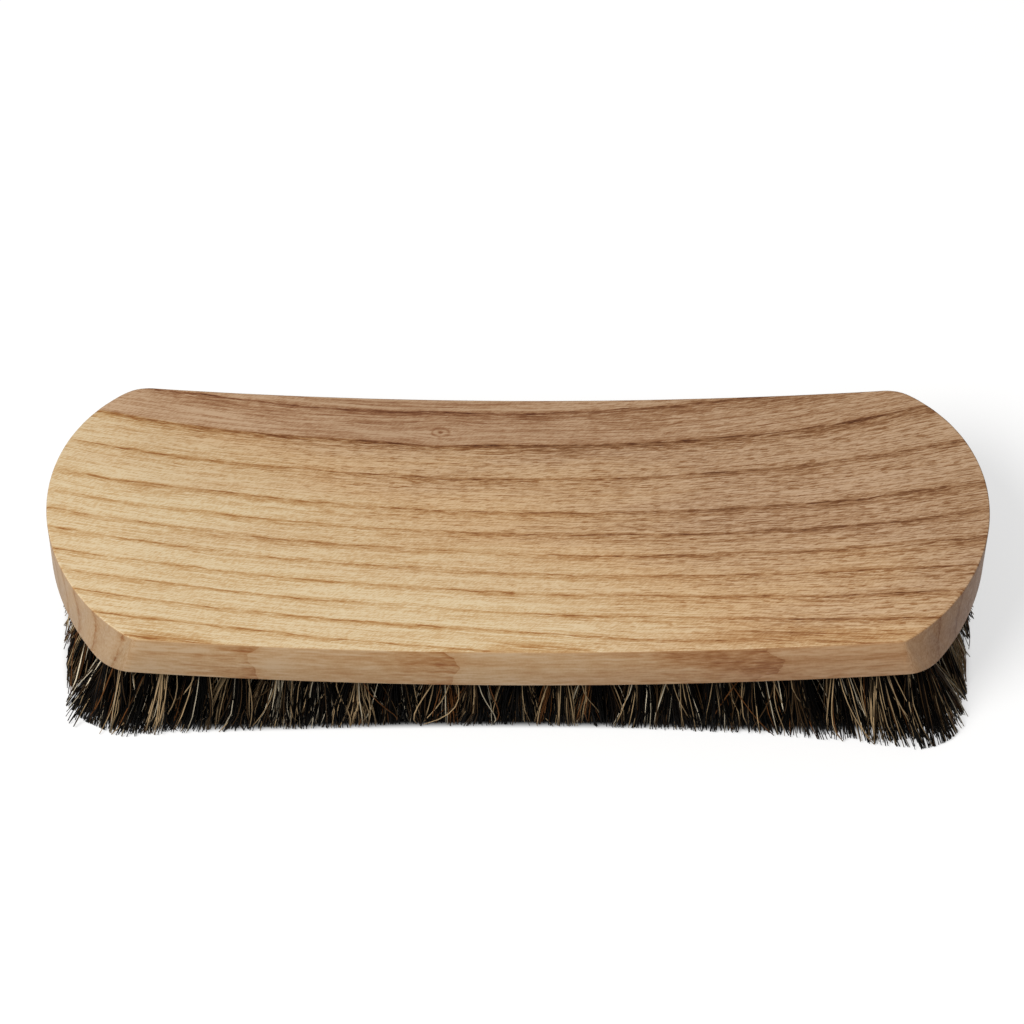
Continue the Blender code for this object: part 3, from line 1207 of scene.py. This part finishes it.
@dataclass
class HairField:
    """All the hair of the brush: packed roots, and rows of hairs that flare out of the holes."""

    shape: BlockShape
    rows: HoleRows
    rim: Rim = Rim()
    seed: int = 11
    root_depth: float = 0.0016
    lean: float = 0.0035  # how far outwards the tufts' feet lie at this distance along the brush
    lean_at: float = 0.080
    taper: float = 0.2
    bulge: float = 0.0009  # how far past the rim a hair may bend
    mouth_share: float = 0.9  # the part of a hole's radius that the hairs fill
    locks: int = 3  # a tuft has this many locks along and across
    lock_pitch: float = 0.66  # half a tuft's spread is 1
    lock_stray: float = 0.16
    most_aim: float = 1.12
    wild_share: tuple = (1.0, 0.45)
    most_wild: tuple = (2.2, 1.3)
    rim_stray: float = 0.0007
    rim_crowding: float = 0.55  # the lower, the more tips end close to the rim
    own_curl: float = 0.7
    bends: tuple = (0.16, 0.66)  # how far down a hair its two control points are
    last_flare: float = 0.14
    trim_height: float = 0.00035
    trim_wave: float = 0.00022
    lowest: float = 0.00001
    plug_play: tuple = (0.00008, 0.0002)  # round a packed root and above it
    plug_dome: tuple = (0.45, 0.0004)  # the inset as a share of the radius, and the height
    plug_tones: tuple = (0.35, 0.2)
    templates: dict[int, tuple] = field(default_factory=dict, init=False)

    def model_hair(self, rings: int) -> None:
        """Models one straight hair by hand, a three-sided rod cut into rings, for other hairs to copy.

        Args:
            rings: how many rings it has.
        """
        deselect()
        bpy.ops.mesh.primitive_cylinder_add(vertices=3, radius=1, depth=1, location=(0, 0, 0))
        rod = bpy.context.object
        edit(rod)
        pick(rod, "EDGE", lambda middle, way: abs(way.z) > 0.9)
        bpy.ops.mesh.subdivide(number_cuts=rings - 2)
        bpy.ops.mesh.select_all(action="SELECT")
        bpy.ops.mesh.normals_make_consistent(inside=False)
        bpy.ops.object.mode_set(mode="OBJECT")
        mesh = rod.data
        points = np.array([v.co for v in mesh.vertices])
        corners = np.array([i for face in mesh.polygons for i in face.vertices])
        starts = np.array([face.loop_start for face in mesh.polygons])
        self.templates[rings] = (points, corners, starts)
        bpy.data.objects.remove(rod)

    def mouths(self, row: int) -> tuple[Numbers, ...]:
        """Finds the mouths of a row of holes.

        Args:
            row: the row's number.

        Returns:
            Their middles, and their directions along and across the brush and up the holes.
        """
        frames = [hole.frame(self.shape) for hole in self.rows.holes(row)]
        middle = np.array([f.translation for f in frames])
        turns = np.array([[list(f.to_3x3().col[i]) for i in range(3)] for f in frames])
        side, across, up = turns[:, 0], turns[:, 1], turns[:, 2]
        swap = np.abs(side[:, :1]) < 0.5
        side, across = np.where(swap, across, side), np.where(swap, side, across)
        side = side * np.sign(side[:, :1])
        across = across * np.sign(across[:, 1:2])
        return middle, side, across, up

    def grow(self, row: int, cut: HairCut, chance: np.random.Generator) -> tuple[Numbers, ...]:
        """Draws the middle line of each hair of a row.

        Args:
            row: the row's number.
            cut: how these hairs grow.
            chance: the random numbers.

        Returns:
            The four control points of each hair's curve, its thickness and the number of its lock.
        """
        middle, side, across, up = self.mouths(row)
        tufts = len(middle)
        grown = [i for i in range(tufts) if not cut.end_tufts or min(i, tufts - 1 - i) < cut.end_tufts]
        count = len(grown) * cut.per_tuft
        tuft = np.repeat(grown, cut.per_tuft)
        turn = chance.uniform(0, 2 * np.pi, count)
        out = np.sqrt(chance.uniform(0, 1, count))
        radius = self.rows.radius * self.mouth_share
        offset = np.stack([np.cos(turn), np.sin(turn)], 1) * out[:, None]
        mouth = middle[tuft] + radius * (side[tuft] * offset[:, :1] + across[tuft] * offset[:, 1:])
        root = mouth + up[tuft] * self.root_depth
        drop = -up / up[:, 2:]
        foot = middle + drop * middle[:, 2:]
        foot[:, 0] += np.sign(foot[:, 0]) * self.lean * (foot[:, 0] / self.lean_at) ** 2
        foot = foot[tuft]

        square = offset / np.maximum(np.abs(np.cos(turn)), np.abs(np.sin(turn)))[:, None]
        locks, most = self.locks, self.locks - 1
        cell = np.clip(np.floor((square + 1) / 2 * locks).astype(int), 0, most)
        key = tuft * locks**2 + cell[:, 0] * locks + cell[:, 1]
        centres = tufts * locks**2
        number = np.arange(centres)
        home = np.stack([number % locks**2 // locks, number % locks], 1) - most / 2
        home = home * self.lock_pitch + chance.normal(0, self.lock_stray, (centres, 2))
        aim = square + (home[key] - square) * cut.bundling
        aim = np.clip(aim + chance.normal(0, cut.looseness, (count, 2)), -self.most_aim, self.most_aim)
        aim = aim + chance.normal(0, 1, (count, 2)) * cut.wildness * np.array(self.wild_share)
        aim = np.clip(aim, np.negative(self.most_wild), self.most_wild)
        tip = foot.copy()
        tip[:, 0] += aim[:, 0] * cut.along_share * self.rows.pitch(row)
        tip[:, 1] += aim[:, 1] * cut.across_share * self.rows.row_pitch
        self.trim(tip, foot, aim, row, tuft, chance.normal(0, self.rim_stray, centres)[key])
        tip[:, 2] = np.abs(chance.normal(0, cut.raggedness, count)) + self.unevenness(tip)
        span = np.linalg.norm(tip - mouth, axis=1)[:, None]
        bundle_curl = chance.normal(0, cut.curl, (centres, 2, 2))[key]
        curl = bundle_curl + chance.normal(0, cut.curl * self.own_curl, (count, 2, 2))
        straight = tip - mouth
        high, low = self.bends
        first = mouth + straight * high - up[tuft] * span * high
        first[:, :2] += curl[:, 0]
        second = mouth + straight * low
        second[:, :2] += curl[:, 1] + (tip - foot)[:, :2] * self.last_flare
        for bend in (first, second):
            far, wide = self.rim.length + self.bulge, self.rim.breadth(bend[:, 0], bend[:, 1]) + self.bulge
            bend[:, 0] = np.clip(bend[:, 0], -far, far)
            bend[:, 1] = np.clip(bend[:, 1], -wide, wide)
        width = chance.uniform(*cut.thickness, count)
        return np.stack([root, first, second, tip], 1), width, key

    def trim(
        self, tip: Numbers, foot: Numbers, aim: Numbers, row: int, tuft: Numbers, stray: Numbers
    ) -> None:
        """Spreads the tips of the outermost tufts as far as the rim, most of them close to it.

        Args:
            tip: the tips, which move.
            foot: where each tuft's axis meets the floor.
            aim: where in its tuft each tip lies, from -1 to 1 along and across.
            row: the row's number.
            tuft: the tuft of each tip.
            stray: how far past the rim each may reach.
        """
        last = len(self.rows.counts) - 1
        share = np.clip(np.abs(aim), 0, 1) ** self.rim_crowding
        if row in (0, last):
            out = -1 if row == 0 else 1
            facing = aim[:, 1] * out > 0
            room = self.rim.breadth(tip[:, 0], tip[:, 1]) - np.abs(foot[:, 1])
            tip[facing, 1] = (foot[:, 1] + out * share[:, 1] * room)[facing]
        for number, way in ((0, -1), (tuft.max(), 1)):
            facing = (tuft == number) & (aim[:, 0] * way > 0)
            room = self.rim.length - np.abs(foot[:, 0])
            tip[facing, 0] = (foot[:, 0] + way * share[:, 0] * room)[facing]
        tip[:, 0], tip[:, 1] = self.rim.inside(tip[:, 0], tip[:, 1], stray)

    def unevenness(self, tip: Numbers) -> Numbers:
        """Leaves the trimmed tips in slow waves, some 20 to 60 mm long.

        Args:
            tip: the tips.

        Returns:
            How far above the floor each ends.
        """
        x, y = tip[:, 0], tip[:, 1]
        patches = np.sin(x * 113 + 1.3) * np.sin(y * 190 + x * 41)
        ripples = np.sin(x * 261 + y * 320)
        return self.trim_height + self.trim_wave * (patches + 0.6 * ripples)

    def sweep(self, curves: Numbers, width: Numbers, rings: int, name: str) -> Thing:
        """Copies the modelled hair along each curve and joins the copies into one piece.

        Args:
            curves: the control points of each hair.
            width: the thickness of each hair at its root.
            rings: how many rings the modelled hair has.
            name: the piece's name.

        Returns:
            The piece.
        """
        points, corners, starts = self.templates[rings]
        level = points[:, 2] + 0.5
        t = 1 - np.round(level * (rings - 1)) / (rings - 1)
        turn = points[:, :2]
        a, b, c, d = (curves[:, i][:, None, :] for i in range(4))
        s = t[None, :, None]
        place = a * (1 - s) ** 3 + 3 * b * s * (1 - s) ** 2 + 3 * c * s**2 * (1 - s) + d * s**3
        way = 3 * (b - a) * (1 - s) ** 2 + 6 * (c - b) * s * (1 - s) + 3 * (d - c) * s**2
        way /= np.linalg.norm(way, axis=2, keepdims=True)
        one = np.cross(way, np.array([1.0, 0.0, 0.0]))
        one /= np.linalg.norm(one, axis=2, keepdims=True)
        two = np.cross(way, one)
        radius = (width[:, None] / 2 * (1 - self.taper * t[None, :] ** 2))[:, :, None]
        made = place + radius * (one * turn[None, :, :1] + two * turn[None, :, 1:])
        made[:, :, 2] = np.maximum(made[:, :, 2], self.lowest)
        count, size = len(curves), len(points)
        shift = np.arange(count)[:, None]
        all_corners = (corners[None, :] + shift * size).ravel()
        all_starts = (starts[None, :] + shift * len(corners)).ravel()
        return mesh_from_arrays(name, made.reshape(-1, 3), all_corners, all_starts)

    def tone(self, piece: Thing, cut: HairCut, lock: Numbers, chance: np.random.Generator) -> None:
        """Gives each hair its tone across the map and its length along it. Many hairs of a lock are alike.

        Args:
            piece: the hairs.
            cut: how they grow.
            lock: the number of each hair's lock.
            chance: the random numbers.
        """
        points, corners, _ = self.templates[cut.rings]
        low, high = (int(round(share * TONE_COLUMNS)) for share in cut.tones)
        count = len(lock)
        shared = chance.integers(low, high, lock.max() + 1)[lock]
        column = np.where(chance.uniform(0, 1, count) < cut.alike, shared, chance.integers(low, high, count))
        around = np.arctan2(points[:, 1], points[:, 0])[corners]
        inside = 0.5 + 0.3 * np.cos(around)
        along = 1 - (points[:, 2] + 0.5)[corners]
        u = (column[:, None] + inside[None, :]) / TONE_COLUMNS
        v = 0.01 + 0.98 * np.broadcast_to(along[None, :], u.shape)
        coordinates = np.stack([u, v], 2).astype(np.float32).ravel()
        for name in (HAIR_MAP, "OFBake"):
            piece.data.uv_layers.new(name=name).data.foreach_set("uv", coordinates)
        piece.data.uv_layers.active = piece.data.uv_layers[HAIR_MAP]

    def piece(self, name: str, kinds: Iterable[tuple[int, HairCut]]) -> Thing:
        """One piece of several kinds of hair.

        Args:
            name: the piece's name.
            kinds: the row and the cut of each kind.

        Returns:
            The piece.
        """
        parts = []
        for number, (row, cut) in enumerate(kinds):
            chance = np.random.default_rng(self.seed + 101 * row + number)
            curves, width, lock = self.grow(row, cut, chance)
            part = self.sweep(curves, width, cut.rings, f"{name}_part_{number}")
            self.tone(part, cut, lock, chance)
            parts.append(part)
        made = join(parts, name) if len(parts) > 1 else parts[0]
        made.name = made.data.name = name
        made.data.shade_smooth()
        return made

    def roots(self) -> Thing:
        """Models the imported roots, a plug of hair that fills each hole.

        Returns:
            The piece.
        """
        deselect()
        round_it, above = self.plug_play
        inset, dome = self.plug_dome
        depth = self.rows.depth - above
        bpy.ops.mesh.primitive_cylinder_add(vertices=9, radius=self.rows.radius - round_it, depth=depth)
        plug = bpy.context.object
        edit(plug)
        pick(plug, "FACE", lambda middle, normal: normal.z < -0.9)
        bpy.ops.mesh.inset(thickness=self.rows.radius * inset)
        bpy.ops.transform.translate(value=(0, 0, -dome))
        bpy.ops.object.mode_set(mode="OBJECT")
        plugs = self.rows.fill(plug, Matrix.Translation((0, 0, depth / 2)), "hair_roots")
        settle(plugs)
        layer = plugs.data.uv_layers[0]
        layer.name = HAIR_MAP
        uv = np.zeros(len(plugs.data.loops) * 2, np.float32)
        layer.data.foreach_get("uv", uv)
        for axis, share in enumerate(self.plug_tones):
            uv[axis::2] = (uv[axis::2] % 1.0) * share
        layer.data.foreach_set("uv", uv)
        plugs.data.shade_smooth()
        return plugs


# The studio


@dataclass(frozen=True)
class Camera:
    """The camera, placed by the angle and distance at which the brush is seen."""

    elevation: float = math.radians(55.573)
    distance: float = 1.8606
    lens: float = 303.2
    roll: float = math.radians(-0.838)
    yaw: float = math.radians(0.786)
    top_height: float = 0.030
    pixels: int = 1024
    off_centre: tuple = (6.0, -13.1)  # in pixels
    farthest: float = 20

    def build(self) -> Thing:
        """Makes the camera and gives it to the scene.

        Returns:
            The camera.
        """
        data = bpy.data.cameras.new("camera")
        data.lens = self.lens
        data.sensor_width = SENSOR
        data.clip_end = self.farthest
        made = bpy.data.objects.new("camera", data)
        bpy.context.scene.collection.objects.link(made)
        e = self.elevation
        forward = Vector((0, math.cos(e), -math.sin(e)))
        right = Vector((1, 0, 0))
        up = Vector((0, math.sin(e), math.cos(e)))
        c, s = math.cos(self.roll), math.sin(self.roll)
        level = right * c - up * s
        rise = right * s + up * c
        focus = Vector((0, 0, self.top_height))
        seat = focus - forward * self.distance
        scale = self.distance * SENSOR / self.lens / self.pixels
        aim = focus - level * (self.off_centre[0] * scale) - rise * (self.off_centre[1] * scale)
        forward = (aim - seat).normalized()
        level = (level - forward * level.dot(forward)).normalized()
        rise = level.cross(forward)
        turn = Matrix((level, rise, -forward)).transposed().to_4x4()
        swing = Matrix.Rotation(-self.yaw, 4, "Z")
        made.matrix_world = swing @ Matrix.Translation(seat) @ turn
        bpy.context.scene.camera = made
        return made


@dataclass(frozen=True)
class SoftLamp:
    """One large soft lamp, aimed at the brush."""

    name: str
    place: tuple
    size: float
    power: float
    colour: tuple = (1.0, 1.0, 1.0)
    aim: tuple = (0, 0, 0.02)

    def build(self) -> Thing:
        """Hangs the lamp.

        Returns:
            The lamp.
        """
        data = bpy.data.lights.new(self.name, "AREA")
        data.shape = "DISK"
        data.size = self.size
        data.energy = self.power
        data.color = self.colour
        lamp = bpy.data.objects.new(self.name, data)
        lamp.location = self.place
        lamp.rotation_euler = (Vector(self.aim) - Vector(self.place)).to_track_quat("-Z", "Y").to_euler()
        bpy.context.scene.collection.objects.link(lamp)
        return lamp


@dataclass(frozen=True)
class Studio:
    """The floor, the sky light and the lamps."""

    sky: float = 0.36
    lamps: tuple = (SoftLamp("key_lamp", (-0.69, -0.57, 1.36), 0.8, 21.0, (1.0, 0.985, 0.965)),)
    floor_size: float = 4.0

    def build(self) -> None:
        """Makes the floor, the world and the lamps."""
        scene = bpy.context.scene
        scene.view_settings.view_transform = "Standard"
        world = bpy.data.worlds.new("studio")
        scene.world = world
        world.use_nodes = True
        background = world.node_tree.nodes["Background"]
        background.inputs["Color"].default_value = (1, 1, 1, 1)
        tree = world.node_tree
        path = tree.nodes.new("ShaderNodeLightPath")
        mix = tree.nodes.new("ShaderNodeMapRange")
        tree.links.new(path.outputs["Is Camera Ray"], mix.inputs["Value"])
        mix.inputs["To Min"].default_value = self.sky
        mix.inputs["To Max"].default_value = 1.0
        tree.links.new(mix.outputs[0], background.inputs["Strength"])
        deselect()
        bpy.ops.mesh.primitive_plane_add(size=self.floor_size, location=(0, 0, 0))
        floor = bpy.context.object
        floor.name = "floor"
        floor.data.materials.append(PaleFloor().make())
        for lamp in self.lamps:
            lamp.build()


class HairPiece(Enum):
    """Each piece of hair: the row that it fills and the CAD row that it stands for."""

    hair_front = (0, "tuft_front")
    hair_second = (1, "tuft_inner_front")
    hair_third = (2, "tuft_inner_front")
    hair_middle = (3, "tuft_middle")
    hair_fifth = (4, "tuft_inner_back")
    hair_sixth = (5, "tuft_inner_back")
    hair_back = (6, "tuft_back")


def dress(piece: Thing, material: bpy.types.Material) -> None:
    """Gives a piece its only material and its body.

    Args:
        piece: the piece.
        material: what it is made of.
    """
    piece.data.materials.clear()
    piece.data.materials.append(material)
    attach(piece, "root")


def report(piece: Thing) -> None:
    """Logs a piece's name and the size of its mesh.

    Args:
        piece: the piece.
    """
    mesh = piece.data
    faces = len(mesh.polygons)
    triangles = len(mesh.loops) - 2 * faces
    LOG.info("%s: %d vertices, %d faces, %d triangles", piece.name, len(mesh.vertices), faces, triangles)


def main() -> None:
    """Builds the camera, the studio, the block and the hair, in that order."""
    logging.basicConfig(level=logging.INFO, format="%(message)s")
    Camera().build()
    Studio().build()
    shape = BlockShape()
    rows = HoleRows(shape)

    block = Block(shape, rows).build()
    dress(block, SawnHardwood().make())
    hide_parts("block")
    report(block)

    horsehair = Horsehair().make()
    hair = HairField(shape, rows)
    thick = FULL_TUFT
    full = HairCut(per_tuft=thick)
    corner = HairCut(per_tuft=thick * 2 // 3, end_tufts=2, bundling=0.1)
    loose = HairCut(
        per_tuft=15,
        wildness=0.8,
        curl=0.0028,
        tones=PALE_TONES,
        thickness=(0.00024, 0.00034),
        looseness=0.4,
        rings=9,
    )
    dry = HairCut(per_tuft=36, end_tufts=1, tones=PALE_TONES, bundling=0.1, wildness=0.2)
    for rings in sorted({cut.rings for cut in (full, corner, loose, dry)}):
        hair.model_hair(rings)
    nodes = sorted(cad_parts)
    for kind in HairPiece:
        row, stem = kind.value
        extra = ((row, corner),) if row in (0, len(rows.counts) - 1) else ()
        piece = hair.piece(kind.name, ((row, full), (row, loose), (row, dry), *extra))
        dress(piece, horsehair)
        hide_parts(*[n for n in nodes if n.startswith(stem + "_") and n[len(stem) + 1 :].isdigit()])
        report(piece)
    roots = hair.roots()
    dress(roots, horsehair)
    report(roots)


if __name__ == "__main__":
    main()
